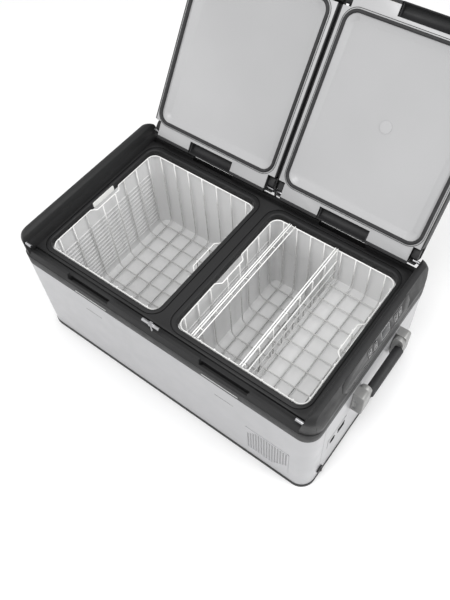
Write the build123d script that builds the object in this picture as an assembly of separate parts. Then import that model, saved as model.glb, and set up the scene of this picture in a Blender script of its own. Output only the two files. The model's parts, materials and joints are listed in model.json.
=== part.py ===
"""Two-compartment compressor cooler fridge with lift-off lids, wire baskets and swing handles.

Millimetres, +Z up. The origin is the centre of the flat underside; +X is the control end, -Y the front.
"""
import os
from math import cos, sin, radians

from build123d import *

# ---- driving dimensions -------------------------------------------------
BODY_L = 912.0
BODY_W = 530.0
BODY_R = 39.0
SHEET = 1.5
PAN_H = 14.0
PAN_PROUD = 1.5
RIM_Z = 297.0
RIM_L = 914.0
RIM_R = 40.0
RING_Z = 346.0
LIP_Z = 348.0
LIP_Y = 257.0
BOLSTER_SEAM_Z = 330.0
BOLSTER_TOP = 400.0
BOLSTER_IN = 418.0
BOLSTER_Y = 262.0
BOLSTER_END_R = 24.0
COMP_IN, COMP_OUT = 28.0, 400.0
COMP_Y = 214.5
COMP_R = 27.0
LINER_T = 1.5
LINER_FLOOR = 42.0
LINER_TOP = 322.0
STEP_X = 224.0
STEP_Z = 200.0
BAY_IN, BAY_TOP = 250.0, 176.0
PIN_Y, PIN_Z, PIN_R = 255.0, 372.5, 4.0
PIN_X1 = 426.0
LID_OPEN = 125.0
LID_X0, LID_X1 = 4.0, 416.0
LID_S0, LID_S1 = -11.0, 521.0
PANEL_S0, PANEL_S1 = -3.0, 513.0
LID_H0, LID_H1 = -20.0, 30.0
LID_WALL = 2.5
PANEL_T = 2.5
FIELD_DEPTH, FIELD_SLOPE = 8.0, 60.0
GRIP_X0, GRIP_X1 = 140.0, 282.0
LATCH_S, LATCH_R = 25.0, 3.5
CLAW_SPANS = ((7.0, 25.0), (397.0, 414.0))
WIRE_R = 1.7
BASKET_X0, BASKET_X1, BASKET_Y = 32.5, 395.5, 207.0
BASKET_TOP, BASKET_FLOOR, BASKET_STEP = 331.0, 54.0, 212.0
WIRE_PITCH = 50.0
HANDLE_Y0 = 23.0
HANDLE_REACH = 30.0
HANDLE_TOP, HANDLE_LOW = 276.0, 195.0
ARM_PIN_X, ARM_PIN_Z = 471.3, 261.0
GRIP_AX, GRIP_AZ, GRIP_R, TENON_R = 478.5, 238.0, 13.0, 6.5
PANEL_Y0, PANEL_Y1 = -145.0, 152.0
FAN_X, FAN_Y, FAN_Z = 338.0, -205.0, 96.0


# ---- small helpers ------------------------------------------------------
def slab(x0, x1, y0, y1, z0, z1):
    """Box given by its limits."""
    lo = (min(x0, x1), min(y0, y1), min(z0, z1))
    size = (abs(x1 - x0), abs(y1 - y0), abs(z1 - z0))
    return Pos(*lo) * Box(*size, align=(Align.MIN,) * 3)


def block(x0, x1, y0, y1, z0, z1, r):
    """Box given by its limits, its four upright edges rounded."""
    sk = RectangleRounded(abs(x1 - x0), abs(y1 - y0), r)
    return Pos((x0 + x1) / 2, (y0 + y1) / 2, z0) * extrude(sk, z1 - z0)


def rod(p, q, r):
    """Round bar from p to q."""
    a, b = Vector(*p), Vector(*q)
    return extrude(Plane(origin=a, z_dir=(b - a)) * Circle(r), (b - a).length)


def prism_x(points, x0, x1):
    """Outline in (y, z) extruded along X."""
    face = make_face(Polyline(*[(x0, y, z) for y, z in points], close=True))
    return extrude(face, abs(x1 - x0), dir=(1 if x1 > x0 else -1, 0, 0))


def flip_x(shape):
    return mirror(shape, about=Plane.YZ)


def flip_y(shape):
    return mirror(shape, about=Plane.XZ)


def soften(shape, radius, pick):
    """Round the edges that pick() accepts."""
    edges = [e for e in shape.edges() if pick(e)]
    return fillet(edges, radius)


def wire_tube(path, r=WIRE_R):
    """Round wire along a path."""
    start = path.edges()[0] if not hasattr(path, "position_at") else path
    plane = Plane(origin=start.position_at(0), z_dir=start.tangent_at(0))
    return sweep(plane * Circle(r), path=path)


def save(name, shape):
    export_step(shape, "parts/" + name + ".step")


def opened(shape):
    """Turn a lid piece from closed to its open rest position."""
    return Pos(0, PIN_Y, PIN_Z) * Rot(-LID_OPEN, 0, 0) * Pos(0, -PIN_Y, -PIN_Z) * shape


def lid_box(x0, x1, s0, s1, h0, h1, r=0.0):
    """Box in lid terms: s runs from the hinge pins forwards, h up when closed."""
    if r:
        return block(x0, x1, PIN_Y - s1, PIN_Y - s0, PIN_Z + h0, PIN_Z + h1, r)
    return slab(x0, x1, PIN_Y - s1, PIN_Y - s0, PIN_Z + h0, PIN_Z + h1)


def far_side(shape):
    """Mirror a closed-lid piece from the hinge side to the front side."""
    return flip_y(shape)


# ---- body ---------------------------------------------------------------
def base_pan():
    pan = block(-457.5, 457.5, -266.5, 266.5, 0, PAN_H, BODY_R + PAN_PROUD)
    pan -= block(-456, 456, -265, 265, 3, PAN_H + 1, BODY_R)
    low = pan.edges().group_by(Axis.Z)[0]
    return chamfer(low, 1.2)


def body_shell():
    shell = block(-456, 456, -265, 265, 3, RIM_Z, BODY_R)
    shell -= block(-454.5, 454.5, -263.5, 263.5, 2, RIM_Z + 1, BODY_R - SHEET)
    vent = slab(274, 401, -267, -262, 52, 174)
    shell = shell - vent - flip_y(vent)
    shell -= slab(453, 458, -182, -98, 124, 176)
    shell -= Pos(455, -206, 44) * Rot(0, 90, 0) * Cylinder(8.5, 6)
    return shell


def vent_grille():
    """Front plate with rows of square holes, its field stepped off at two corners."""
    plate = slab(274, 401, -266, -263.5, 52, 174)
    plate = soften(plate, 5, lambda e: abs(e.length - 2.5) < 0.01)
    holes = []
    for row in range(14):
        for col in range(15):
            if col - row > 9 or row - col > 10:
                continue
            holes.append(Pos(281.5 + 8 * col, 61 + 8 * row) * Rectangle(4.6, 4.6))
    field = Plane(origin=(0, -260, 0), x_dir=(1, 0, 0), z_dir=(0, -1, 0)) * Sketch(children=holes)
    return plate - extrude(field, 8)


def insulation_foam():
    foam = block(-454.5, 454.5, -263.5, 263.5, 3, RIM_Z, BODY_R - SHEET)
    t = LINER_T
    left = block(-COMP_OUT - t, -COMP_IN + t, -COMP_Y - t, COMP_Y + t, LINER_FLOOR - t, 300, COMP_R + t)
    deep = block(COMP_IN - t, COMP_OUT + t, -COMP_Y - t, COMP_Y + t, STEP_Z - t, 300, COMP_R + t)
    well = block(COMP_IN - t, STEP_X + t, -COMP_Y - t, COMP_Y + t, LINER_FLOOR - t, 300, COMP_R - 8)
    foam = foam - left - deep - well
    foam -= slab(BAY_IN, 470, -280, 280, 0, BAY_TOP)
    return foam - evaporator_space()


def evaporator_space():
    plates = slab(-380, -50, 216, 217.5, 90, 250)
    plates += slab(50, 205, 216, 217.5, 90, 250)
    plates += flip_y(plates)
    return plates


def liner(x0, x1, floor):
    """Moulded inner box, open at the top."""
    t = LINER_T
    cup = block(x0 - t, x1 + t, -COMP_Y - t, COMP_Y + t, floor - t, LINER_TOP, COMP_R + t)
    return cup - block(x0, x1, -COMP_Y, COMP_Y, floor, LINER_TOP + 1, COMP_R)


def left_liner():
    cup = liner(-COMP_OUT, -COMP_IN, LINER_FLOOR)
    for k in range(14):
        z = 262 - 15 * k
        cup += slab(-COMP_OUT - 0.5, -COMP_OUT + 2.2, -182, 182, z, z + 6)
    return cup


def right_liner():
    t = LINER_T
    cup = liner(COMP_IN, COMP_OUT, STEP_Z)
    cup -= block(COMP_IN, STEP_X, -COMP_Y, COMP_Y, STEP_Z - 5, STEP_Z + 5, COMP_R - 8 - t)
    outer = block(COMP_IN - t, STEP_X + t, -COMP_Y - t, COMP_Y + t, LINER_FLOOR - t, STEP_Z - t, COMP_R - 8)
    inner = block(COMP_IN, STEP_X, -COMP_Y, COMP_Y, LINER_FLOOR, STEP_Z + 1, COMP_R - 8 - t)
    cup += outer
    cup -= inner
    for k in range(5):
        z = 250 - 16 * k
        cup += slab(COMP_IN - 0.5, COMP_IN + 2.0, -182, 182, z, z + 7)
    return cup


# ---- rim and bolsters ---------------------------------------------------
def top_rim():
    """Black frame: raised lip, finger channel, ridge, groove and seal land round two openings."""
    base = block(-RIM_L / 2, RIM_L / 2, -BODY_W / 2, BODY_W / 2, RIM_Z, BOLSTER_SEAM_Z, RIM_R)
    half = [(0, 329), (264.2, 329), (LIP_Y, LIP_Z), (249, LIP_Z)]
    half += [(249, 336), (236, 336), (236, RING_Z), (0, RING_Z)]
    deck = prism_x(half, -BOLSTER_IN, BOLSTER_IN)
    rim = base + deck + flip_y(deck)
    for cut in (seal_groove(), opening_cut(), finger_recesses()):
        rim = rim - cut - flip_x(cut)
    for side in (-1, 1):
        rim -= rod((0, side * PIN_Y, 332), (0, side * PIN_Y, 352), 3.0)
    return rim


def seal_groove():
    """Rounded groove round the land that one lid seal meets."""
    ring = block(12.5, 411, -230, 230, 342, 350, 41)
    return ring - block(16, 408, -227, 227, 341, 351, 38)


def opening_cut():
    """One compartment opening, flared at the top, with a seat for the liner below."""
    t = LINER_T
    cut = block(COMP_IN, COMP_OUT, -COMP_Y, COMP_Y, LINER_TOP - 1, 350, COMP_R)
    cut += block(COMP_IN - t, COMP_OUT + t, -COMP_Y - t, COMP_Y + t, RIM_Z - 1, LINER_TOP, COMP_R + t)
    mouth = RectangleRounded(COMP_OUT - COMP_IN, 2 * COMP_Y, COMP_R)
    middle = (COMP_IN + COMP_OUT) / 2
    return cut + Pos(middle, 0, RING_Z - 3) * extrude(mouth, 3.5, taper=-45)


def finger_recesses():
    """Hand gaps under the four latch handles."""
    slot = block(GRIP_X0, GRIP_X1, -259, -247, 318, 352, 5.5)
    slot += block(GRIP_X0 + 3, GRIP_X1 - 3, -275, -255, 337, 352, 3)
    return slot + flip_y(slot)


def bolster():
    """Raised end at +X, its ends rounded to follow the body corners."""
    z0, end = BOLSTER_SEAM_Z, BODY_W / 2
    pts = [(BOLSTER_IN, z0), (BOLSTER_IN, RING_Z), (426, 392), (433, BOLSTER_TOP), (443.5, BOLSTER_TOP)]
    pts += [(457, 347), (457, z0)]
    outline = FilletPolyline(*[(x, -end, z) for x, z in pts], radius=[0.4, 4, 6, 5, 5, 8, 0.4], close=True)
    bar = extrude(make_face(outline), 2 * end, dir=(0, 1, 0))
    cap = block(-457, 457, -BOLSTER_Y, BOLSTER_Y, 300, BOLSTER_TOP, RIM_R)
    crown = cap.faces().sort_by(Axis.Z)[-1].edges()
    bar &= fillet(crown, BOLSTER_END_R)
    for side in (-1, 1):
        bar -= rod((400, side * PIN_Y, PIN_Z), (PIN_X1, side * PIN_Y, PIN_Z), PIN_R)
    return bar


def panel_plane(lift=0.0):
    """Plane of the control fascia: X along the bolster, Y up the slope."""
    n = Vector(53, 0, 13.5).normalized()
    o = Vector(457, 0, 347) + n * lift
    return Plane(origin=o, x_dir=(0, 1, 0), z_dir=n)


def fascia_outline(grow=0.0):
    g = grow
    y0, y1 = PANEL_Y0 - g, PANEL_Y1 + g
    pts = [(y0 + 14, 2 - g), (y1 - 14, 2 - g), (y1, 20), (y1 - 4, 42), (y1 - 14, 49 + g)]
    pts += [(y0 + 14, 49 + g), (y0 + 4, 42), (y0, 20)]
    return make_face(Polyline(*pts, close=True))


BUTTONS = ((-30.0, 28.0), (-6.0, 28.0), (86.0, 28.0), (106.0, 28.0))
BUTTON_W, BUTTON_H = 15.0, 24.0
DISPLAY_Y, DISPLAY_T, DISPLAY_W, DISPLAY_H = 40.0, 28.0, 38.0, 32.0


def fascia_cuts(grow, depth, lift):
    """Windows for the buttons and the display."""
    cuts = Sketch() + Pos(DISPLAY_Y, DISPLAY_T) * RectangleRounded(DISPLAY_W + grow, DISPLAY_H + grow, 3)
    for y, t in BUTTONS:
        cuts += Pos(y, t) * RectangleRounded(BUTTON_W + grow, BUTTON_H + grow, 3)
    return extrude(panel_plane(lift) * cuts, -depth)


def right_bolster():
    bar = bolster()
    bar -= extrude(panel_plane(1) * fascia_outline(), -3)
    return bar - fascia_cuts(0.8, 6, 0)


def control_panel():
    plate = extrude(panel_plane(0.6) * fascia_outline(), -2.6)
    return plate - fascia_cuts(0.8, 6, 2)


def display_window():
    pane = Pos(DISPLAY_Y, DISPLAY_T) * RectangleRounded(DISPLAY_W + 0.8, DISPLAY_H + 0.8, 3)
    return extrude(panel_plane(0.4) * pane, -3.0)


def panel_button(index):
    y, t = BUTTONS[index]
    cap = extrude(panel_plane(1.2) * Pos(y, t) * RectangleRounded(BUTTON_W, BUTTON_H, 2.6), -4.0)
    return cap


def end_pins():
    pins = rod((404, PIN_Y, PIN_Z), (PIN_X1, PIN_Y, PIN_Z), PIN_R)
    pins = soften(pins, 0.8, lambda e: abs(e.center().X - 404) < 0.1)
    pair = [pins, flip_y(pins)]
    return Compound(pair + [flip_x(p) for p in pair])


def centre_posts():
    bar = rod((-26, PIN_Y, PIN_Z), (26, PIN_Y, PIN_Z), PIN_R)
    post = bar + rod((0, PIN_Y, 332), (0, PIN_Y, PIN_Z), 3.0)
    post += slab(-4.5, 4.5, PIN_Y - 4.5, PIN_Y + 4.5, PIN_Z - 4.5, PIN_Z + 4.5)
    return Compound([post, flip_y(post)])


def trim_strips():
    strip = slab(151, 257, -266.2, -265.0, 307.5, 311.5)
    strip = soften(strip, 1.6, lambda e: abs(e.length - 1.2) < 0.05)
    return Compound([strip, flip_x(strip)])


def lamp_lenses():
    lens = slab(-398.6, -COMP_OUT, -41, 41, 324, 342)
    lens = soften(lens, 4, lambda e: abs(e.length - 1.4) < 0.05)
    return Compound([lens, flip_x(lens)])


# ---- lids ---------------------------------------------------------------
def latch_pockets(grow=0.0):
    """Spaces in a lid for the claws and the latch handles, on both long sides."""
    g = grow
    near = lid_box(LID_X0 - 10, 27 + g, -20, 38 + g, -30, 20 + g)
    near += lid_box(395 - g, LID_X1 + 10, -20, 38 + g, -30, 20 + g)
    near += lid_box(GRIP_X0 - 1 - g, GRIP_X1 + 1 + g, -20, 32 + g, -30, 22 + g)
    return near + far_side(near)


def panel_plate():
    """Flat of the inner panel, notched for the claws and the latch handles."""
    x0, x1 = LID_X0 + LID_WALL + 0.5, LID_X1 - LID_WALL - 0.5
    plate = lid_box(x0, x1, PANEL_S0, PANEL_S1, LID_H0, LID_H0 + PANEL_T, 19)
    notch = lid_box(LID_X0, 27, -20, 36, -30, 0) + lid_box(395, LID_X1, -20, 36, -30, 0)
    notch += lid_box(GRIP_X0 - 1, GRIP_X1 + 1, -20, 22, -30, 0)
    return plate - notch - far_side(notch)


def lid_outer():
    box = lid_box(LID_X0, LID_X1, LID_S0, LID_S1, LID_H0, LID_H1, 22)
    top = box.faces().sort_by(Axis.Z)[-1]
    return fillet(top.edges(), 11)


def lid_cavity():
    w = LID_WALL
    room = lid_box(LID_X0 + w, LID_X1 - w, PANEL_S0 - 0.5, PANEL_S1 + 0.5, LID_H0 - 1, LID_H1 - w, 19.5)
    top = room.faces().sort_by(Axis.Z)[-1]
    return fillet(top.edges(), 9) - latch_pockets(LID_WALL)


def rod_channel(r):
    near = rod((LID_X0 - 5, PIN_Y - LATCH_S, PIN_Z), (LID_X1 + 5, PIN_Y - LATCH_S, PIN_Z), r)
    return near + far_side(near)


def lid_shell():
    return lid_outer() - lid_cavity() - latch_pockets() - rod_channel(LATCH_R + 0.4) - panel_plate()


def panel_field(grow, depth):
    """Recessed field of the inner panel, its walls sloping."""
    outline = RectangleRounded(360 + 2 * grow, 421 + 2 * grow, 28 + grow)
    return Pos(210, 0, PIN_Z + LID_H0) * extrude(outline, depth, taper=FIELD_SLOPE)


def lid_panel():
    panel = panel_plate() + panel_field(4, FIELD_DEPTH + 2)
    return panel - Pos(0, 0, -0.01) * panel_field(0, FIELD_DEPTH + 0.01)


def lid_foam():
    core = lid_cavity() - lid_box(0, 420, -20, 530, LID_H0 - 2, LID_H0 + PANEL_T)
    return core - panel_field(4, FIELD_DEPTH + 2) - rod_channel(LATCH_R + 0.4)


def lid_gasket():
    """Soft seal ring that meets the land round the opening."""
    ring = block(19, 407, -221.5, 221.5, PIN_Z - 26.1, PIN_Z + LID_H0, 35)
    ring -= block(27.5, 398.5, -213, 213, PIN_Z - 30, PIN_Z + LID_H0 + 1, 26.5)
    low = ring.edges().group_by(Axis.Z)[0]
    return fillet(low, 3.6)


def claw(x0, x1):
    """Hook arm from the latch rod to the pin, its mouth open downwards."""
    y0, z0 = PIN_Y, PIN_Z
    outline = [(y0 + 8, z0 - 9), (y0 + 8, z0 + 5), (y0 + 4, z0 + 8.5), (y0 - 22, z0 + 8.5), (y0 - 31, z0 + 5)]
    outline += [(y0 - 32, z0 - 5), (y0 - 27, z0 - 8), (y0 - 14, z0 - 10)]
    arm = prism_x(outline, x0, x1)
    arm -= rod((x0 - 1, y0, z0), (x1 + 1, y0, z0), PIN_R + 0.08)
    mouth = [(y0 + PIN_R + 0.08, z0), (y0 + PIN_R + 0.08, z0 - 20), (y0 - 9, z0 - 20), (y0 - 9, z0 - 11)]
    mouth += [(y0 - 6.2, z0 - 6), (y0 - 4.6, z0 - 3), (y0 - PIN_R - 0.08, z0)]
    return arm - prism_x(mouth, x0 - 1, x1 + 1)


def latch_bar():
    """Torque rod with a claw at each end, hinge side of the +X lid."""
    bar = rod((7.5, PIN_Y - LATCH_S, PIN_Z), (413.5, PIN_Y - LATCH_S, PIN_Z), LATCH_R)
    for x0, x1 in CLAW_SPANS:
        bar += claw(x0, x1)
    return bar


def latch_handle():
    """Scooped pull, bored for the torque rod."""
    y0, z0 = PIN_Y, PIN_Z
    pts = [(y0 - 22, z0 + 6.5), (y0 - 4, z0 + 7), (y0 + 6, z0 + 4), (y0 + 10.8, z0 - 4), (y0 + 11.5, z0 - 17)]
    pts += [(y0 + 10, z0 - 19), (y0 + 8, z0 - 17), (y0 + 7, z0 - 7), (y0 + 2, z0 - 1), (y0 - 5, z0 + 1.5)]
    pts += [(y0 - 12, z0 + 0.5), (y0 - 18, z0 - 5), (y0 - 22, z0 - 13), (y0 - 25, z0 - 14)]
    pts += [(y0 - 28, z0 - 12), (y0 - 30.5, z0 - 4), (y0 - 30.5, z0 + 3), (y0 - 27, z0 + 6)]
    pull = prism_x(pts, GRIP_X0 + 0.5, GRIP_X1 - 0.5)
    for x in (GRIP_X0 + 0.5, GRIP_X1 - 3.5):
        cheek = [(y0 - 24, z0 - 13), (y0 - 24, z0 + 5), (y0 + 3, z0 + 3), (y0 + 9, z0 - 5), (y0 + 9, z0 - 15)]
        pull += prism_x(cheek, x, x + 3)
    return pull - rod((100, y0 - LATCH_S, z0), (300, y0 - LATCH_S, z0), LATCH_R)


# ---- baskets ------------------------------------------------------------
def top_hoop(x0, x1, yy, z, tabs):
    """Top wire of a basket; on the two short sides it steps inwards to make a finger grip."""
    r, j, h = 24.0, 14.0, 44.0
    pts = [(x0, yy, z), (x0, h + 12, z), (x0 + j, h, z), (x0 + j, -h, z), (x0, -h - 12, z), (x0, -yy, z)]
    pts += [(x1, -yy, z), (x1, -h - 12, z), (x1 - j, -h, z), (x1 - j, h, z), (x1, h + 12, z), (x1, yy, z)]
    radii = [r, 6, 6, 6, 6, r, r, 6, 6, 6, 6, r]
    path = FilletPolyline(*pts, radius=radii, close=True)
    return wire_tube(path)


def bent_wire(points, radius):
    return wire_tube(FilletPolyline(*points, radius=radius))


def spread(a, b, pitch):
    """Evenly spaced stations between a and b, about one pitch apart."""
    n = max(2, round((b - a) / pitch) + 1)
    return [a + (b - a) * k / (n - 1) for k in range(n)]


def left_basket():
    x0, x1, yy = -BASKET_X1, -BASKET_X0, BASKET_Y
    top, low, drop = BASKET_TOP, BASKET_FLOOR, 2 * WIRE_R - 0.7
    basket = top_hoop(x0, x1, yy, top, True)
    for x in spread(x0 + 30, x1 - 30, WIRE_PITCH):
        yw = yy - drop
        basket += bent_wire([(x, yw, top + 1), (x, yw, low), (x, -yw, low), (x, -yw, top + 1)], 20)
    for y in spread(-yy + 28, yy - 28, WIRE_PITCH):
        a, b = x0 + drop, x1 - drop
        if abs(y) < 46:
            a, b = a + 14, b - 14
        basket += bent_wire([(a, y, top + 1), (a, y, low + drop), (b, y, low + drop), (b, y, top + 1)], 20)
    return basket


def right_basket():
    x0, x1, yy = BASKET_X0, BASKET_X1, BASKET_Y
    top, low, step, drop = BASKET_TOP, BASKET_FLOOR, BASKET_STEP, 2 * WIRE_R - 0.7
    edge = STEP_X - 9
    basket = top_hoop(x0, x1, yy, top, True)
    for x in spread(x0 + 30, edge - 26, WIRE_PITCH):
        yw = yy - drop
        basket += bent_wire([(x, yw, top + 1), (x, yw, low), (x, -yw, low), (x, -yw, top + 1)], 20)
    for x in spread(edge + 24, x1 - 30, WIRE_PITCH):
        yw = yy - drop
        basket += bent_wire([(x, yw, top + 1), (x, yw, step), (x, -yw, step), (x, -yw, top + 1)], 20)
    for y in spread(-yy + 28, yy - 28, WIRE_PITCH):
        a, b = x0 + drop, x1 - drop
        if abs(y) < 46:
            a, b = a + 14, b - 14
        pts = [(a, y, top + 1), (a, y, low + drop), (edge, y, low + drop), (edge, y, step + drop)]
        pts += [(b, y, step + drop), (b, y, top + 1)]
        basket += bent_wire(pts, [20, 14, 14, 20])
    return basket


def basket_divider():
    """Wire gate hooked over the long sides of the right basket above its step."""
    z1, z0, w, hook = BASKET_TOP + 5, 224.0, 198.0, BASKET_Y
    gate = rod((220, -hook, z1), (220, hook, z1), WIRE_R) + rod((226.5, -hook, z1), (226.5, hook, z1), WIRE_R)
    for z in (z0, 262, 300):
        gate += rod((232, -w, z), (232, w, z), WIRE_R)
    for y in spread(-w, w, 57):
        gate += rod((229.2, y, z0 - 1), (229.2, y, z1 + 1), WIRE_R)
        gate += rod((219, y, z1 - 2.7), (229.2, y, z1 - 2.7), WIRE_R)
    return gate


def bottle_rail():
    """Cross wires that rest on the long top wires and keep bottles upright."""
    z, hook = BASKET_TOP + 5, BASKET_Y
    rail = rod((79, -hook, z), (79, hook, z), WIRE_R)
    for x in (85, 97):
        rail += rod((x, -hook, z), (x, hook, z), WIRE_R)
    for y in spread(-180, 180, 60):
        rail += rod((78, y, z - 2.7), (98, y, z - 2.7), WIRE_R)
    return rail


# ---- carry handles ------------------------------------------------------
def bracket(y_in, y_out):
    """Wall block with a rounded outer edge."""
    x0, x1 = BODY_L / 2, BODY_L / 2 + HANDLE_REACH
    lo, hi = min(y_in, y_out), max(y_in, y_out)
    blk = slab(x0, x1, lo, hi, HANDLE_LOW, HANDLE_TOP)
    blk = soften(blk, 9, lambda e: abs(e.center().X - x1) < 0.1 and abs(e.length - (hi - lo)) < 0.1)
    return soften(blk, 1.2, lambda e: abs(e.center().Y - y_out) < 0.1 and e.center().X > x0 + 1)


HALF_SPAN_IN, ARM_T, HALF_SPAN_OUT = 73.0, 13.0, 112.0


def handle_ends():
    return [(side, HANDLE_Y0 + side * HALF_SPAN_IN, HANDLE_Y0 + side * HALF_SPAN_OUT) for side in (-1, 1)]


def handle_brackets():
    blocks = []
    for side, y_in, y_out in handle_ends():
        blk = bracket(y_in + side * (ARM_T + 0.4), y_out)
        blk -= rod((ARM_PIN_X, y_in, ARM_PIN_Z), (ARM_PIN_X, y_out - side * 8, ARM_PIN_Z), PIN_R)
        for z in (212, 243):
            blk -= rod((BODY_L / 2 + 9, y_out - side * 3, z), (BODY_L / 2 + 9, y_out + side, z), 4.2)
        blocks += [blk, flip_x(blk)]
    return Compound(blocks)


def bracket_screws():
    screws = []
    for side, y_in, y_out in handle_ends():
        for z in (212, 243):
            screw = rod((BODY_L / 2 + 9, y_out - side * 3, z), (BODY_L / 2 + 9, y_out - side * 0.8, z), 4.2)
            screw -= rod((BODY_L / 2 + 9, y_out - side * 2, z), (BODY_L / 2 + 9, y_out, z), 1.8)
            screws += [screw, flip_x(screw)]
    return Compound(screws)


def handle_pivots():
    pins = []
    for side, y_in, y_out in handle_ends():
        pin = rod((ARM_PIN_X, y_in + side * 3, ARM_PIN_Z), (ARM_PIN_X, y_out - side * 8, ARM_PIN_Z), PIN_R)
        pins += [pin, flip_x(pin)]
    return Compound(pins)


def handle_arms():
    """Two arms at the +X end, rounded about their pivots."""
    arms = []
    for side, y_in, y_out in handle_ends():
        r = ARM_PIN_X - BODY_L / 2 - 1.0
        arm = rod((ARM_PIN_X, y_in, ARM_PIN_Z), (ARM_PIN_X, y_in + side * ARM_T, ARM_PIN_Z), r)
        arm += slab(ARM_PIN_X - r, ARM_PIN_X + r, y_in, y_in + side * ARM_T, HANDLE_LOW + 1, ARM_PIN_Z)
        foot_edges = lambda e: abs(e.center().Z - HANDLE_LOW - 1) < 0.1 and abs(e.length - ARM_T) < 0.1
        arm = soften(arm, 9, foot_edges)
        bore = rod((ARM_PIN_X, y_in + side * 3, ARM_PIN_Z), (ARM_PIN_X, y_in + side * 20, ARM_PIN_Z), PIN_R + 0.06)
        arm -= bore
        arm -= rod((GRIP_AX, y_in - side, GRIP_AZ), (GRIP_AX, y_in + side * 8, GRIP_AZ), TENON_R)
        arms.append(arm)
    return Compound(arms)


def handle_grip():
    (s0, a, _), (s1, b, _) = handle_ends()
    bar = rod((GRIP_AX, a, GRIP_AZ), (GRIP_AX, b, GRIP_AZ), GRIP_R)
    bar = soften(bar, 1.0, lambda e: True)
    return bar + rod((GRIP_AX, a - 8, GRIP_AZ), (GRIP_AX, b + 8, GRIP_AZ), TENON_R)


# ---- end-wall fittings --------------------------------------------------
def inlet_plate():
    """Small plate on the control end that holds the two power inlets."""
    plate = slab(454.5, 457.2, -182, -98, 124, 176)
    plate = soften(plate, 6, lambda e: abs(e.length - 2.7) < 0.01)
    plate -= rod((452, -162, 150), (460, -162, 150), 11.5)
    plate -= slab(452, 460, -137, -107, 138, 162)
    return plate


def power_inlets():
    """Round low-voltage inlet and square mains inlet, both blind sockets facing +X."""
    y, z = -162, 150
    low = rod((430, y, z), (458, y, z), 11.5)
    low -= rod((438, y, z), (461, y, z), 8.5)
    low += rod((434, y - 4, z), (450, y - 4, z), 1.2) + rod((434, y + 4, z), (450, y + 4, z), 1.2)
    mains = slab(430, 458, -137, -107, 138, 162) - slab(438, 461, -134, -110, 141, 159)
    for y in (-128, -122, -116):
        mains += slab(434, 450, y - 1, y + 1, 148, 152)
    return Compound([low, mains])


def drain_plug():
    plug = rod((449, -206, 44), (460.5, -206, 44), 8.0)
    plug += rod((456.5, -206, 44), (460.5, -206, 44), 11.5)
    plug += slab(460, 464, -208, -204, 36, 52)
    return plug


# ---- machine bay --------------------------------------------------------
def compressor():
    shell = Pos(345, 70, 30) * Cylinder(62, 96, align=(Align.CENTER, Align.CENTER, Align.MIN))
    shell = fillet(shell.edges(), 18)
    seam = Pos(345, 70, 76) * Cylinder(65, 4, align=(Align.CENTER, Align.CENTER, Align.MIN))
    shell = shell + seam
    for dx, dy in ((-48, -48), (48, -48), (-48, 48), (48, 48)):
        shell += slab(345 + dx - 14, 345 + dx + 14, 70 + dy - 14, 70 + dy + 14, 24, 44)
    shell += slab(385, 416, 44, 96, 50, 90)
    return shell


def compressor_mounts():
    feet = []
    for dx, dy in ((-48, -48), (48, -48), (-48, 48), (48, 48)):
        foot = Pos(345 + dx, 70 + dy, 3) * Cylinder(10, 21, align=(Align.CENTER, Align.CENTER, Align.MIN))
        feet.append(foot)
    return Compound(feet)


def condenser():
    """Fin stack with straight tube runs, just behind the front grille."""
    x0, x1, y0, y1, z0, z1 = 282, 394, -258, -222, 40, 152
    runs = [(y, z) for y in (y0 + 10, y1 - 10) for z in (58, 82, 106, 130)]
    core = slab(x0 - 4, x0, y0, y1, z0, z1) + slab(x1, x1 + 4, y0, y1, z0, z1)
    for k in range(16):
        x = x0 + 4 + 7 * k
        core += slab(x, x + 1.2, y0, y1, z0, z1)
    for y, z in runs:
        core += rod((x0 - 10, y, z), (x1 + 10, y, z), 4.2)
    sides = slab(x0 - 4, x0, y0, y1, 3, z0) + slab(x1, x1 + 4, y0, y1, 3, z0)
    return core + slab(x0 - 4, x1 + 4, y0, y1, 3, 6) + sides


def fan_shroud():
    s, y = 60, FAN_Y
    frame = slab(FAN_X - s, FAN_X + s, y - 14, y + 12, FAN_Z - s, FAN_Z + s)
    frame -= rod((FAN_X, y - 20, FAN_Z), (FAN_X, y + 20, FAN_Z), 55)
    for ang in (45, 135, 225, 315):
        dx, dz = cos(radians(ang)), sin(radians(ang))
        near = (FAN_X + 14 * dx, y + 9.5, FAN_Z + 14 * dz)
        far = (FAN_X + 57 * dx, y + 9.5, FAN_Z + 57 * dz)
        frame += rod(near, far, 2.2)
    frame += rod((FAN_X, y + 7, FAN_Z), (FAN_X, y + 12, FAN_Z), 20)
    frame += rod((FAN_X, y - 8, FAN_Z), (FAN_X, y + 7, FAN_Z), 3.0)
    return frame + slab(FAN_X - 40, FAN_X + 40, y - 10, y + 8, 3, FAN_Z - s)


def cooling_fan():
    y = FAN_Y
    hub = rod((FAN_X, y - 10, FAN_Z), (FAN_X, y + 6, FAN_Z), 19)
    blade = slab(16, 52, -1.0, 1.0, -9, 9)
    fan = hub
    for k in range(7):
        fan += Pos(FAN_X, y - 1.5, FAN_Z) * Rot(0, 360 / 7 * k, 0) * Rot(38, 0, 0) * blade
    return fan - rod((FAN_X, y - 8.3, FAN_Z), (FAN_X, y + 10, FAN_Z), 3.05)


def refrigerant_lines():
    suction = FilletPolyline((345, 136, 100), (345, 185, 100), (270, 185, 100), (270, 185, 170), radius=12)
    out = [(275, 70, 110), (254, 70, 110), (254, -232, 110), (271, -232, 110)]
    delivery = FilletPolyline(*out, radius=8)
    return Compound([wire_tube(suction, 3.2), wire_tube(delivery, 3.2)])


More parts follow.
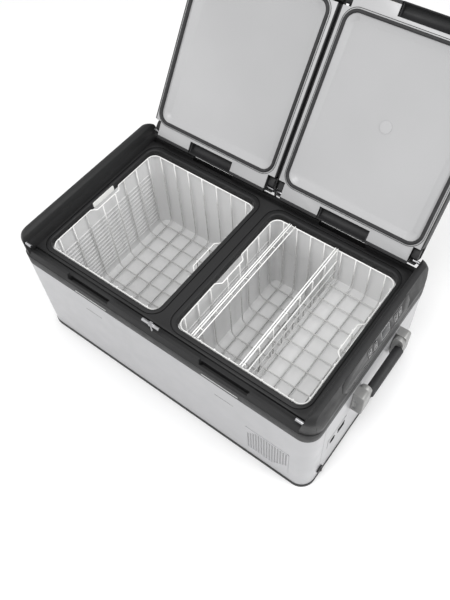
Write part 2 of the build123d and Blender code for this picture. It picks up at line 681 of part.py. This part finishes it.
def control_board():
    board = slab(300, 400, 232, 234, 60, 150)
    parts = ((310, 70, 22, 30, 14), (345, 72, 14, 14, 22), (372, 80, 18, 40, 10), (330, 118, 40, 16, 8))
    for x, z, w, h, d in parts:
        board += slab(x, x + w, 232 - d, 232.5, z, z + h)
    for x in (304, 396):
        for z in (64, 146):
            board += rod((x, 233, z), (x, 263.5, z), 3.0)
    return board


# ---- build --------------------------------------------------------------
def build():
    os.makedirs("parts", exist_ok=True)
    save("base_pan", base_pan())
    save("body_shell", body_shell())
    grille = vent_grille()
    save("front_vent_grille", grille)
    save("rear_vent_grille", flip_y(grille))
    save("insulation_foam", insulation_foam())
    save("evaporator_plates", evaporator_space())
    save("left_liner", left_liner())
    save("right_liner", right_liner())
    save("top_rim", top_rim())
    save("left_bolster", flip_x(bolster()))
    save("right_bolster", right_bolster())
    save("control_panel", control_panel())
    save("display_window", display_window())
    for k in range(len(BUTTONS)):
        save("panel_button_" + str(k + 1), panel_button(k))
    save("end_pins", end_pins())
    save("centre_posts", centre_posts())
    save("trim_strips", trim_strips())
    save("lamp_lenses", lamp_lenses())
    for name, piece in (("lid_shell", lid_shell()), ("lid_panel", lid_panel()), ("lid_foam", lid_foam()),
                        ("lid_gasket", lid_gasket())):
        save("right_" + name, opened(piece))
        save("left_" + name, opened(flip_x(piece)))
    ceiling = PIN_Z + LID_H0 + FIELD_DEPTH
    save("right_lid_plug", opened(rod((214, -5, ceiling - 1.2), (214, -5, ceiling), 15)))
    for name, piece in (("latch_bar", latch_bar()), ("latch_handle", latch_handle())):
        front = far_side(piece)
        save("right_back_" + name, opened(piece))
        save("right_front_" + name, opened(front))
        save("left_back_" + name, opened(flip_x(piece)))
        save("left_front_" + name, opened(flip_x(front)))
    save("left_basket", left_basket())
    save("right_basket", right_basket())
    save("basket_divider", basket_divider())
    save("bottle_rail", bottle_rail())
    save("handle_brackets", handle_brackets())
    save("bracket_screws", bracket_screws())
    save("handle_pivots", handle_pivots())
    arms, grip = handle_arms(), handle_grip()
    save("right_handle_arms", arms)
    save("left_handle_arms", flip_x(arms))
    save("right_handle_grip", grip)
    save("left_handle_grip", flip_x(grip))
    save("inlet_plate", inlet_plate())
    save("power_inlets", power_inlets())
    save("drain_plug", drain_plug())
    save("compressor", compressor())
    save("compressor_mounts", compressor_mounts())
    save("condenser", condenser())
    save("fan_shroud", fan_shroud())
    save("cooling_fan", cooling_fan())
    save("refrigerant_lines", refrigerant_lines())
    save("control_board", control_board())


if __name__ == "__main__":
    build()
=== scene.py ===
"""Two-lid compressor cooler fridge: finishes, eased mouldings, fascia print and a plain studio.

Lengths are metres in the cooler's own frame: +Z up, +X the control end, -Y the front.
"""
import json
import math

import bpy
from mathutils import Matrix, Vector

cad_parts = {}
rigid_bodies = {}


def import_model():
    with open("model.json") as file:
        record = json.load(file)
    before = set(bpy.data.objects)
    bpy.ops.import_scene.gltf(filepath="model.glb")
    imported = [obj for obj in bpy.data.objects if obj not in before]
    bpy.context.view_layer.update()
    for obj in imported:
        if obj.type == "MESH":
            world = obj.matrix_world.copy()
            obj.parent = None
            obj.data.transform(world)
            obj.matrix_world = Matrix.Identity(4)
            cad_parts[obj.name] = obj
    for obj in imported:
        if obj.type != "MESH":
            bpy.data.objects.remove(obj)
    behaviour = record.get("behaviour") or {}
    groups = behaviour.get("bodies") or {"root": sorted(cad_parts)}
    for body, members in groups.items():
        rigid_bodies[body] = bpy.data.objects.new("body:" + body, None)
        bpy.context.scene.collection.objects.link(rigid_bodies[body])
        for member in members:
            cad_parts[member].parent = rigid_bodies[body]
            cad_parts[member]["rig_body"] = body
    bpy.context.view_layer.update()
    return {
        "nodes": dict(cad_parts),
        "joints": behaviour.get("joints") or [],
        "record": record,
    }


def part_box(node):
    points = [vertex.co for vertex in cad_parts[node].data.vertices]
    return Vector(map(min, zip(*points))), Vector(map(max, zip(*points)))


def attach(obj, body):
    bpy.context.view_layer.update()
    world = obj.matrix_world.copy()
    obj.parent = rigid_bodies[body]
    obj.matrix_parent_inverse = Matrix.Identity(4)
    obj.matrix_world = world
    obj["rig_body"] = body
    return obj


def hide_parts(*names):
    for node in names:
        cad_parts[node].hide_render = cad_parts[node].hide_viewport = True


bl_info = {
    "name": "Compressor cooler fridge",
    "version": (1, 0, 0),
    "blender": (4, 5, 0),
    "location": "View3D > Sidebar > Cooler",
    "description": "Dresses the two-lid compressor cooler with its finishes and small parts",
    "category": "Object",
}

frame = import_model()
NODES = frame["nodes"]
SIDES = ("left", "right")
ENDS = ("back", "front")
LATCH_NODES = [f"{s}_{e}_latch_{p}" for s in SIDES for e in ENDS for p in ("bar", "handle")]
BUTTONS = ("panel_button_1", "panel_button_2", "panel_button_3", "panel_button_4")
LID_OPEN = 125.0  # degrees that a lid stands open at rest
SEAL_LONG = 0.443  # outside length of a lid seal
PANEL_H = -0.020  # closed inner panel, measured from the hinge pins
BEAD_OUT = 0.004  # from a seal to the bead round it
BEAD_CORNER = 0.038
SUNK = 0.0001  # how far a laid-on mark sits in its face
BUTTON_FACE = (0.0136, 0.0226, 0.0022)  # button outline: width, height, corner
DISPLAY_FACE = (0.0360, 0.0300, 0.003)
BUTTON_LIFT, DISPLAY_LIFT = 0.00199, 0.00149  # from a node's middle to its front face
# the two dark dashes on the front sheet are painted shadow lines
DASH_SIZE, DASH_X = (0.056, 0.0022), 0.212
DASH_Y, DASH_Z = -0.2649, 0.242
SEAM_SIZE, SEAM_AT = (0.0008, 0.270), (0.4559, -0.206, 0.160)
LAMPS = (  # name, place, size, watts
    ("key light", (1.9, 0.5, 2.3), 1.2, 26),
    ("top light", (0.2, -1.0, 2.9), 0.9, 26),
    ("front fill", (-1.3, -2.4, 1.6), 2.2, 14),
    ("left fill", (-2.2, -0.6, 2.2), 2.0, 8),
    ("end fill", (3.0, 0.2, 0.8), 1.2, 12),
)


def body_of(node):
    """Name of the moving body that a node belongs to."""
    return NODES[node]["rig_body"]


def slot_of(node):
    """Material slot that the record gives a node."""
    return next(s["material_slot"] for s in frame["record"]["subparts"] if s["node"] == node)


# ---- settings -----------------------------------------------------------
def colour_prop(name, words, default):
    return bpy.props.FloatVectorProperty(
        name=name, description=words, default=default, size=3, min=0, max=1, subtype="COLOR")


def length_prop(name, words, default):
    return bpy.props.FloatProperty(name=name, description=words, default=default, min=0, unit="LENGTH")


class CoolerColours(bpy.types.PropertyGroup):
    """Colours of the cooler's finishes."""

    moulding: colour_prop("Rim", "Charcoal rim, bolsters and base", (0.015, 0.015, 0.0155))
    lid: colour_prop("Lid", "Charcoal lid shells", (0.022, 0.022, 0.023))
    sheet: colour_prop("Body", "Light grey painted body", (0.37, 0.37, 0.38))
    liner: colour_prop("Liner", "White inner liners", (0.66, 0.66, 0.66))
    lid_panel: colour_prop("Lid panel", "Light grey inner lid panels", (0.385, 0.385, 0.39))
    wire: colour_prop("Wire", "White coated basket wire", (0.66, 0.66, 0.65))
    alloy: colour_prop("Alloy", "Blasted alloy handle blocks", (0.27, 0.27, 0.265))
    rubber: colour_prop("Rubber", "Seals, grips and plugs", (0.016, 0.016, 0.017))
    fascia: colour_prop("Fascia", "Glossy control fascia", (0.004, 0.004, 0.0045))
    print_grey: colour_prop("Print", "Fascia outlines and symbols", (0.44, 0.44, 0.44))


class CoolerSizes(bpy.types.PropertyGroup):
    """Sizes of the small work on the cooler."""

    rim_edge: length_prop("Rim edge", "Rounding of the rim's edges", 0.0012)
    small_edge: length_prop("Small edge", "Rounding of edges on small mouldings", 0.0006)
    print_line: length_prop("Print line", "Width of the fascia outlines", 0.0009)
    print_depth: length_prop("Print depth", "Thickness of the printed marks", 0.00015)
    bead_line: length_prop("Bead", "Width of the bead round a lid seal", 0.0012)
    bead_depth: length_prop("Bead depth", "Thickness of the bead round a lid seal", 0.0004)


# ---- finishes -----------------------------------------------------------
class Finish:
    """A material under construction: one Principled shader and the nodes that feed it."""

    def __init__(self, name):
        self.material = bpy.data.materials.new(name)
        self.material.use_nodes = True
        self.tree = self.material.node_tree
        self.shader = self.tree.nodes["Principled BSDF"]
        self.where = self.add("ShaderNodeTexCoord").outputs["Object"]
        self.bumps = None

    def add(self, kind, **settings):
        node = self.tree.nodes.new(kind)
        for key, value in settings.items():
            setattr(node, key, value)
        return node

    def link(self, a, b):
        self.tree.links.new(a, b)

    def noise(self, scale, detail=2.0, stretch=None):
        """Noise over the piece; stretch gives a scale for each axis."""
        node = self.add("ShaderNodeTexNoise")
        node.inputs["Scale"].default_value = scale
        node.inputs["Detail"].default_value = detail
        source = self.where
        if stretch:
            mapping = self.add("ShaderNodeMapping")
            mapping.inputs["Scale"].default_value = stretch
            self.link(self.where, mapping.inputs["Vector"])
            source = mapping.outputs["Vector"]
        self.link(source, node.inputs["Vector"])
        return node.outputs["Fac"]

    def cells(self, scale, feature="F1"):
        node = self.add("ShaderNodeTexVoronoi", feature=feature)
        node.inputs["Scale"].default_value = scale
        self.link(self.where, node.inputs["Vector"])
        return node.outputs["Distance"]

    def height(self, low, high, wander):
        """0 below the low height and 1 above the high one, with a noisy edge."""
        z = self.add("ShaderNodeSeparateXYZ")
        self.link(self.where, z.inputs["Vector"])
        share = self.add("ShaderNodeMapRange")
        share.inputs["From Min"].default_value = low
        share.inputs["From Max"].default_value = high
        self.link(z.outputs["Z"], share.inputs["Value"])
        total = self.add("ShaderNodeMath", operation="MULTIPLY_ADD")
        total.inputs[1].default_value = wander
        self.link(self.noise(40, 3), total.inputs[0])
        self.link(share.outputs["Result"], total.inputs[2])
        return total.outputs["Value"]

    def spread(self, value, low, high):
        """Map a 0..1 pattern to a range."""
        node = self.add("ShaderNodeMapRange")
        node.inputs["From Min"].default_value = 0.3
        node.inputs["From Max"].default_value = 0.7
        node.inputs["To Min"].default_value = low
        node.inputs["To Max"].default_value = high
        self.link(value, node.inputs["Value"])
        return node.outputs["Result"]

    def colour(self, base, value, change):
        """Base colour that drifts darker and lighter by the given share."""
        ramp = self.add("ShaderNodeValToRGB")
        low, high = ramp.color_ramp.elements
        low.position, high.position = 0.3, 0.7
        low.color = (*[c * (1 - change) for c in base], 1)
        high.color = (*[min(1, c * (1 + change)) for c in base], 1)
        self.link(value, ramp.inputs["Fac"])
        self.link(ramp.outputs["Color"], self.shader.inputs["Base Color"])
        return ramp

    def rough(self, value, low, high):
        self.link(self.spread(value, low, high), self.shader.inputs["Roughness"])

    def bump(self, height, strength, depth):
        node = self.add("ShaderNodeBump")
        node.inputs["Strength"].default_value = strength
        node.inputs["Distance"].default_value = depth
        self.link(height, node.inputs["Height"])
        if self.bumps:
            self.link(self.bumps, node.inputs["Normal"])
        self.bumps = node.outputs["Normal"]
        self.link(self.bumps, self.shader.inputs["Normal"])

    def set(self, **inputs):
        for key, value in inputs.items():
            self.shader.inputs[key.replace("_", " ").replace("  ", " ")].default_value = value


def spark_grain(name, base, rough, depth=0.00012, size=1400):
    """Moulded plastic with the fine eroded grain of a tool-textured part."""
    f = Finish(name)
    f.colour(base, f.noise(9, 4), 0.05)
    f.rough(f.noise(40, 3), rough - 0.05, rough + 0.06)
    f.bump(f.noise(size, 3), 0.45, depth)
    f.bump(f.cells(size * 0.6), 0.25, depth)
    f.set(Specular_IOR_Level=0.28)
    return f.material


def satin_moulding(name, base, rough):
    """Smooth vacuum-formed sheet with slight waviness."""
    f = Finish(name)
    f.colour(base, f.noise(5, 2), 0.025)
    f.rough(f.noise(30, 3), rough - 0.05, rough + 0.07)
    f.bump(f.noise(14, 2), 0.12, 0.0016)
    f.bump(f.noise(900, 2), 0.12, 0.00005)
    f.set(Specular_IOR_Level=0.5)
    return f.material


def painted_sheet(name, base):
    """Powder-coated sheet: orange peel over a faintly uneven coat."""
    f = Finish(name)
    f.colour(base, f.noise(4, 3), 0.02)
    f.rough(f.noise(22, 4), 0.30, 0.40)
    f.bump(f.noise(520, 2), 0.18, 0.00009)
    f.bump(f.noise(6, 1), 0.10, 0.0012)
    f.set(Metallic=0.25, Coat_Weight=0.2, Coat_Roughness=0.22)
    return f.material


def gloss_fascia(name, base):
    """Polished black fascia with faint wiping haze."""
    f = Finish(name)
    f.colour(base, f.noise(30, 2), 0.15)
    f.rough(f.noise(60, 5, (1, 0.25, 1)), 0.24, 0.34)
    f.bump(f.noise(20, 1), 0.05, 0.0004)
    f.set(Specular_IOR_Level=0.22, Coat_Weight=0.05, Coat_Roughness=0.15)
    return f.material


def bright_metal(name, base, rough, along):
    """Drawn bright metal with fine lines along one axis."""
    f = Finish(name)
    stretch = tuple(0.02 if k == along else 1.0 for k in range(3))
    f.colour(base, f.noise(60, 2), 0.05)
    f.rough(f.noise(900, 3, stretch), rough - 0.06, rough + 0.10)
    f.bump(f.noise(1600, 2, stretch), 0.15, 0.00004)
    f.set(Metallic=1.0)
    return f.material


def blasted_alloy(name, base):
    """Bead-blasted alloy with a fine sparkle and handling dulling."""
    f = Finish(name)
    f.colour(base, f.noise(25, 4), 0.06)
    f.rough(f.noise(300, 3), 0.36, 0.52)
    f.bump(f.noise(2200, 2), 0.35, 0.00008)
    f.set(Metallic=0.6, Specular_IOR_Level=0.4)
    return f.material


def soft_rubber(name, base, rough):
    """Matt rubber with a dusty bloom."""
    f = Finish(name)
    f.colour(base, f.noise(50, 4), 0.25)
    f.rough(f.noise(90, 3), rough - 0.08, rough + 0.08)
    f.bump(f.noise(1500, 2), 0.3, 0.0001)
    f.set(Specular_IOR_Level=0.4)
    return f.material


def wire_with_painted_shade(name, base):
    """Dipped white coating with painted shade: lighter on the top rails and greyer lower down, as the light
    falls more on the upper wires.
    """
    f = Finish(name)
    # painted shade: the wire colour darkens towards the bottom and lightens towards the top rails
    f.colour(base, f.height(0.24, 0.34, 0.15), 0.25)
    f.rough(f.noise(120, 3), 0.20, 0.32)
    f.bump(f.noise(180, 2), 0.25, 0.0003)
    return f.material


def foam_block(name, base):
    f = Finish(name)
    f.colour(base, f.noise(30, 4), 0.12)
    f.rough(f.noise(80, 2), 0.8, 0.95)
    f.bump(f.cells(380), 0.6, 0.0006)
    return f.material


def lamp_lens(name):
    """Frosted lens with fine flutes across its length."""
    f = Finish(name)
    f.colour((0.90, 0.90, 0.88), f.noise(30, 2), 0.03)
    f.rough(f.noise(60, 2), 0.25, 0.40)
    wave = f.add("ShaderNodeTexWave", bands_direction="Y")
    wave.inputs["Scale"].default_value = 90
    f.link(f.where, wave.inputs["Vector"])
    f.bump(wave.outputs["Fac"], 0.4, 0.0005)
    f.set(Subsurface_Weight=0.2, Subsurface_Radius=(0.002, 0.002, 0.002))
    return f.material


def circuit(name):
    f = Finish(name)
    f.colour((0.02, 0.16, 0.07), f.cells(260), 0.5)
    f.rough(f.noise(90, 2), 0.3, 0.5)
    f.bump(f.cells(500), 0.3, 0.0002)
    return f.material


FINISHES = {}


def make_finishes(c):
    """All the finishes, by the record's slot names and a few extra ones."""
    FINISHES.update(
        black_plastic=spark_grain("charcoal rim moulding", c.moulding, 0.50),
        charcoal_plastic=spark_grain("charcoal lid moulding", c.lid, 0.52),
        silver_sheet=painted_sheet("light grey body coat", c.sheet),
        foam=foam_block("rigid foam", (0.78, 0.70, 0.48)),
        aluminium_plate=bright_metal("mill aluminium", (0.72, 0.73, 0.74), 0.38, 0),
        white_liner=satin_moulding("white liner", c.liner, 0.38),
        grey_liner=satin_moulding("light grey lid panel", c.lid_panel, 0.36),
        gloss_black=gloss_fascia("polished fascia", c.fascia),
        display_glass=gloss_fascia("display window", (0.016, 0.017, 0.019)),
        bright_steel=bright_metal("bright pin steel", (0.36, 0.36, 0.37), 0.30, 0),
        satin_metal=bright_metal("satin trim", (0.55, 0.55, 0.55), 0.34, 0),
        lamp_lens=lamp_lens("frosted lamp lens"),
        black_rubber=soft_rubber("black rubber", c.rubber, 0.55),
        white_wire=wire_with_painted_shade("white coated wire", c.wire),
        satin_aluminium=blasted_alloy("blasted alloy", c.alloy),
        black_paint=spark_grain("compressor enamel", (0.02, 0.02, 0.02), 0.35, 0.00004, 500),
        copper_pipe=bright_metal("copper tube", (0.72, 0.40, 0.26), 0.30, 2),
        circuit_board=circuit("circuit board"),
        print_grey=soft_rubber("fascia print", c.print_grey, 0.5),
        # dark grey for the painted shadow lines on the front sheet and for the end seam
        sheet_mark=soft_rubber("painted shadow line and seam line", (0.16, 0.16, 0.16), 0.5),
    )


# ---- modelling helpers --------------------------------------------------
def deselect():
    if bpy.context.mode != "OBJECT":
        bpy.ops.object.mode_set(mode="OBJECT")
    bpy.ops.object.select_all(action="DESELECT")


def pick(piece):
    deselect()
    piece.select_set(True)
    bpy.context.view_layer.objects.active = piece


def dress(piece, finish):
    """Give a piece one finish."""
    piece.data.materials.clear()
    piece.data.materials.append(FINISHES[finish])


def dress_node(node, finish=None):
    """Give a carried-over node the finish of its slot."""
    dress(NODES[node], finish or slot_of(node))


def settle(piece, body, finish, name):
    """Name, dress and hang a finished piece on its body."""
    piece.name = piece.data.name = name
    dress(piece, finish)
    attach(piece, body)
    return piece


def eased_copy(node, width, finish=None, segments=2, angle=38):
    """Merged copy of a node with its hard edges eased and its curves shaded smooth."""
    piece = bpy.data.objects.new(node + "_eased", NODES[node].data.copy())
    bpy.context.scene.collection.objects.link(piece)
    pick(piece)
    bpy.ops.object.mode_set(mode="EDIT")
    bpy.ops.mesh.select_all(action="SELECT")
    bpy.ops.mesh.remove_doubles(threshold=0.000002)
    bpy.ops.mesh.dissolve_limited(angle_limit=math.radians(0.4))
    bpy.ops.object.mode_set(mode="OBJECT")
    if width:
        bevel = piece.modifiers.new("eased edges", "BEVEL")
        bevel.width = width
        bevel.segments = segments
        bevel.limit_method = "ANGLE"
        bevel.angle_limit = math.radians(angle)
        bevel.use_clamp_overlap = True
        bpy.ops.object.modifier_apply(modifier=bevel.name)
    bpy.ops.object.shade_smooth_by_angle(angle=math.radians(angle))
    slot = finish or slot_of(node)
    settle(piece, body_of(node), slot, node + "_eased")
    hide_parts(node)
    return piece


def outline_ring(width, height, corner, line, thick):
    """Rounded rectangular band lying flat on the origin."""
    deselect()
    bpy.ops.mesh.primitive_plane_add(size=1)
    ring = bpy.context.object
    ring.scale = (width, height, 1)
    bpy.ops.object.transform_apply(location=False, rotation=False, scale=True)
    bpy.ops.object.mode_set(mode="EDIT")
    bpy.ops.mesh.select_all(action="SELECT")
    bpy.ops.mesh.bevel(offset=corner, segments=8, affect="VERTICES")
    bpy.ops.mesh.select_all(action="SELECT")
    bpy.ops.mesh.inset(thickness=line)
    bpy.ops.mesh.delete(type="FACE")
    bpy.ops.mesh.select_all(action="SELECT")
    bpy.ops.mesh.extrude_region_move(TRANSFORM_OT_translate={"value": (0, 0, thick)})
    bpy.ops.mesh.select_all(action="SELECT")
    bpy.ops.mesh.normals_make_consistent(inside=False)
    bpy.ops.object.mode_set(mode="OBJECT")
    return ring


def bar_mark(width, height, thick, at=(0, 0)):
    """Small flat bar with rounded corners."""
    deselect()
    bpy.ops.mesh.primitive_plane_add(size=1)
    bar = bpy.context.object
    bar.scale = (width, height, 1)
    bpy.ops.object.transform_apply(location=False, rotation=False, scale=True)
    bpy.ops.object.mode_set(mode="EDIT")
    bpy.ops.mesh.select_all(action="SELECT")
    bpy.ops.mesh.bevel(offset=min(width, height) * 0.45, segments=4, affect="VERTICES")
    bpy.ops.mesh.select_all(action="SELECT")
    bpy.ops.mesh.extrude_region_move(TRANSFORM_OT_translate={"value": (0, 0, thick)})
    bpy.ops.mesh.select_all(action="SELECT")
    bpy.ops.mesh.normals_make_consistent(inside=False)
    bpy.ops.object.mode_set(mode="OBJECT")
    bar.location = (at[0], at[1], 0)
    bpy.ops.object.transform_apply(location=True, rotation=False, scale=False)
    return bar


def merge(pieces):
    """Join pieces into the first of them."""
    deselect()
    for piece in pieces:
        piece.select_set(True)
    bpy.context.view_layer.objects.active = pieces[0]
    bpy.ops.object.join()
    return pieces[0]


def lay_on(piece, centre, normal, across):
    """Stand a flat piece on a sloping face: its Z along normal, its X along across."""
    z = Vector(normal).normalized()
    x = Vector(across).normalized()
    y = z.cross(x)
    turn = Matrix((x, y, z)).transposed().to_4x4()
    piece.matrix_world = Matrix.Translation(centre) @ turn
    pick(piece)
    bpy.ops.object.transform_apply(location=True, rotation=True, scale=True)


def middle(node):
    low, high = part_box(node)
    return (low + high) / 2


def joint(name):
    return next(j for j in frame["joints"] if j["name"] == name)


# ---- operators ----------------------------------------------------------
class COOLER_OT_finishes(bpy.types.Operator):
    """Make every finish and put it on the carried-over parts"""

    bl_idname = "cooler.finishes"
    bl_label = "Finishes"

    def execute(self, context):
        make_finishes(context.scene.cooler_colours)
        for node in NODES:
            dress_node(node)
        return {"FINISHED"}


class COOLER_OT_rim(bpy.types.Operator):
    """Ease the edges of the rim, the bolsters and the base pan"""

    bl_idname = "cooler.rim"
    bl_label = "Rim and bolsters"

    def execute(self, context):
        size = context.scene.cooler_sizes
        eased_copy("top_rim", size.rim_edge)
        eased_copy("base_pan", size.small_edge)
        for node in ("left_bolster", "right_bolster"):
            eased_copy(node, size.small_edge)
        return {"FINISHED"}


class COOLER_OT_body(bpy.types.Operator):
    """Smooth the body shell, ease the inlet plate, power inlets and drain plug, and lay the sheet marks"""

    bl_idname = "cooler.body"
    bl_label = "Body"

    def execute(self, context):
        eased_copy("body_shell", 0)
        for node in ("inlet_plate", "power_inlets", "drain_plug"):
            eased_copy(node, context.scene.cooler_sizes.small_edge / 2)
        self.sheet_marks(context.scene.cooler_sizes.print_depth)
        return {"FINISHED"}

    def sheet_marks(self, thick):
        """Two short dark dashes on the front sheet, painted shadow lines, and the seam of the end sheet."""
        front, across = Vector((0, -1, 0)), Vector((1, 0, 0))
        for sign, side in ((-1, "left"), (1, "right")):
            # painted shadow line: a dark bar laid on the front sheet
            dash = bar_mark(*DASH_SIZE, thick + SUNK)
            lay_on(dash, Vector((sign * DASH_X, DASH_Y, DASH_Z)), front, across)
            settle(dash, "cabinet", "sheet_mark", side + "_front_dash")
        seam = bar_mark(*SEAM_SIZE, thick + SUNK)
        lay_on(seam, Vector(SEAM_AT), Vector((1, 0, 0)), Vector((0, 1, 0)))
        settle(seam, "cabinet", "sheet_mark", "end_seam")


class COOLER_OT_lids(bpy.types.Operator):
    """Ease the lid shells, panels and seals, and add the bead round each seal"""

    bl_idname = "cooler.lids"
    bl_label = "Lids"

    def execute(self, context):
        size = context.scene.cooler_sizes
        for side in SIDES:
            eased_copy(side + "_lid_shell", size.small_edge)
            eased_copy(side + "_lid_panel", size.small_edge)
            eased_copy(side + "_lid_gasket", 0)
            self.bead(side, size)
        for node in LATCH_NODES:
            eased_copy(node, size.small_edge)
        return {"FINISHED"}

    def bead(self, side, size):
        """Thin raised bead on the inner panel, just outside the seal."""
        swing = Matrix.Rotation(math.radians(-LID_OPEN), 4, "X")
        pin = Vector(joint(side + "_lid_hinge")["pos_m"])
        low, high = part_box(side + "_lid_gasket")
        wide, long = high.x - low.x + 2 * BEAD_OUT, SEAL_LONG + 2 * BEAD_OUT
        ring = outline_ring(wide, long, BEAD_CORNER, size.bead_line, size.bead_depth + SUNK)
        centre = Vector(((low.x + high.x) / 2, -pin.y, PANEL_H - size.bead_depth))
        ring.matrix_world = Matrix.Translation((0, pin.y, pin.z)) @ swing @ Matrix.Translation(centre)
        pick(ring)
        bpy.ops.object.transform_apply(location=True, rotation=True, scale=True)
        settle(ring, side + "_lid", "black_plastic", side + "_seal_bead")


class COOLER_OT_baskets(bpy.types.Operator):
    """Smooth the wire baskets, their dividers and the liners"""

    bl_idname = "cooler.baskets"
    bl_label = "Baskets and liners"

    def execute(self, context):
        for node in ("left_basket", "right_basket", "basket_divider", "bottle_rail"):
            eased_copy(node, 0, angle=60)
        for node in ("left_liner", "right_liner"):
            eased_copy(node, context.scene.cooler_sizes.small_edge)
        return {"FINISHED"}


class COOLER_OT_handles(bpy.types.Operator):
    """Ease the carry handle blocks, arms and grips"""

    bl_idname = "cooler.handles"
    bl_label = "Carry handles"

    def execute(self, context):
        size = context.scene.cooler_sizes
        eased_copy("handle_brackets", size.small_edge)
        for side in SIDES:
            eased_copy(side + "_handle_arms", size.small_edge)
            eased_copy(side + "_handle_grip", 0)
        for node in ("end_pins", "centre_posts"):
            eased_copy(node, 0)
        return {"FINISHED"}


class COOLER_OT_fascia(bpy.types.Operator):
    """Print the outlines and symbols on the control fascia"""

    bl_idname = "cooler.fascia"
    bl_label = "Fascia print"

    def execute(self, context):
        size = context.scene.cooler_sizes
        line, thick = size.print_line, size.print_depth
        normal = -Vector(joint("button_1_press")["axis"])
        across = Vector((0, 1, 0))
        for node in ("control_panel", "display_window", *BUTTONS):
            eased_copy(node, size.small_edge / 2)
        for k, node in enumerate(BUTTONS):
            mark = merge([outline_ring(*BUTTON_FACE, line, thick), *self.symbol(k, line, thick)])
            lay_on(mark, middle(node) + normal * BUTTON_LIFT, normal, across)
            settle(mark, body_of(node), "print_grey", node + "_print")
        window = outline_ring(*DISPLAY_FACE, line, thick)
        lay_on(window, middle("display_window") + normal * DISPLAY_LIFT, normal, across)
        settle(window, "cabinet", "print_grey", "display_outline")
        return {"FINISHED"}

    def symbol(self, k, line, thick):
        """Plain marks: a stand-by ring, a framed dash, a plus over a dash, a ring with a dot."""
        if k == 0:
            ring = outline_ring(0.006, 0.006, 0.0029, line, thick)
            return [ring, bar_mark(0.0008, 0.0035, thick, (0, 0.0026))]
        if k == 1:
            return [outline_ring(0.006, 0.009, 0.001, line, thick), bar_mark(0.003, 0.0008, thick)]
        if k == 2:
            return [bar_mark(0.0055, 0.0009, thick, (0, 0.004)), bar_mark(0.0009, 0.0055, thick, (0, 0.004)),
                    bar_mark(0.0055, 0.0009, thick, (0, -0.005))]
        return [outline_ring(0.007, 0.007, 0.0034, line, thick), bar_mark(0.0016, 0.0016, thick)]


class COOLER_OT_stage(bpy.types.Operator):
    """Pale floor, soft studio light and the camera"""

    bl_idname = "cooler.stage"
    bl_label = "Studio"

    CAMERA_AT = (0.6748, -0.7521, 1.6641)
    TURN, TILT, LEAN = 41.4, 56.1, -5.2
    LENS = 39.39

    def execute(self, context):
        self.camera(context)
        self.floor()
        self.world(context)
        for lamp in LAMPS:
            self.lamp(*lamp)
        return {"FINISHED"}

    def camera(self, context):
        az, el, roll = (math.radians(v) for v in (self.TURN, self.TILT, self.LEAN))
        back = Vector((math.sin(az) * math.cos(el), -math.cos(az) * math.cos(el), math.sin(el)))
        right = Vector((math.cos(az), math.sin(az), 0))
        up = back.cross(right)
        x = right * math.cos(roll) + up * math.sin(roll)
        y = up * math.cos(roll) - right * math.sin(roll)
        bpy.ops.object.camera_add()
        cam = context.object
        cam.name = "camera"
        cam.matrix_world = Matrix.Translation(self.CAMERA_AT) @ Matrix((x, y, back)).transposed().to_4x4()
        cam.data.lens = self.LENS
        cam.data.sensor_width = 36
        cam.data.clip_start = 0.05
        context.scene.camera = cam

    def floor(self):
        deselect()
        bpy.ops.mesh.primitive_plane_add(size=14)
        floor = bpy.context.object
        floor.name = "floor"
        f = Finish("pale floor")
        f.colour((0.90, 0.90, 0.90), f.noise(2, 2), 0.01)
        f.rough(f.noise(20, 2), 0.6, 0.7)
        floor.data.materials.append(f.material)

    def world(self, context):
        world = bpy.data.worlds.new("studio")
        world.use_nodes = True
        sky = world.node_tree.nodes["Background"]
        sky.inputs["Color"].default_value = (1, 1, 1, 1)
        sky.inputs["Strength"].default_value = 0.85
        context.scene.world = world
        context.scene.view_settings.view_transform = "Standard"

    def lamp(self, name, at, size, power):
        deselect()
        bpy.ops.object.light_add(type="AREA", location=at)
        lamp = bpy.context.object
        lamp.name = name
        lamp.data.size = size
        lamp.data.energy = power
        aim = Vector((0, 0, 0.2)) - Vector(at)
        lamp.rotation_euler = aim.to_track_quat("-Z", "Y").to_euler()


class COOLER_PT_panel(bpy.types.Panel):
    """Steps that dress the cooler, in order."""

    bl_idname = "COOLER_PT_panel"
    bl_label = "Cooler"
    bl_space_type = "VIEW_3D"
    bl_region_type = "UI"
    bl_category = "Cooler"

    def draw(self, context):
        for group in (context.scene.cooler_colours, context.scene.cooler_sizes):
            for key in group.__annotations__:
                self.layout.prop(group, key)
        for step in STEPS:
            self.layout.operator(step.bl_idname)


STEPS = (
    COOLER_OT_finishes,
    COOLER_OT_rim,
    COOLER_OT_body,
    COOLER_OT_lids,
    COOLER_OT_baskets,
    COOLER_OT_handles,
    COOLER_OT_fascia,
    COOLER_OT_stage,
)
CLASSES = (CoolerColours, CoolerSizes, *STEPS, COOLER_PT_panel)


def register():
    for item in CLASSES:
        bpy.utils.register_class(item)
    bpy.types.Scene.cooler_colours = bpy.props.PointerProperty(type=CoolerColours)
    bpy.types.Scene.cooler_sizes = bpy.props.PointerProperty(type=CoolerSizes)


def unregister():
    del bpy.types.Scene.cooler_sizes
    del bpy.types.Scene.cooler_colours
    for item in reversed(CLASSES):
        bpy.utils.unregister_class(item)


def main():
    register()
    for step in STEPS:
        group, name = step.bl_idname.split(".")
        getattr(getattr(bpy.ops, group), name)()


if __name__ == "__main__":
    main()
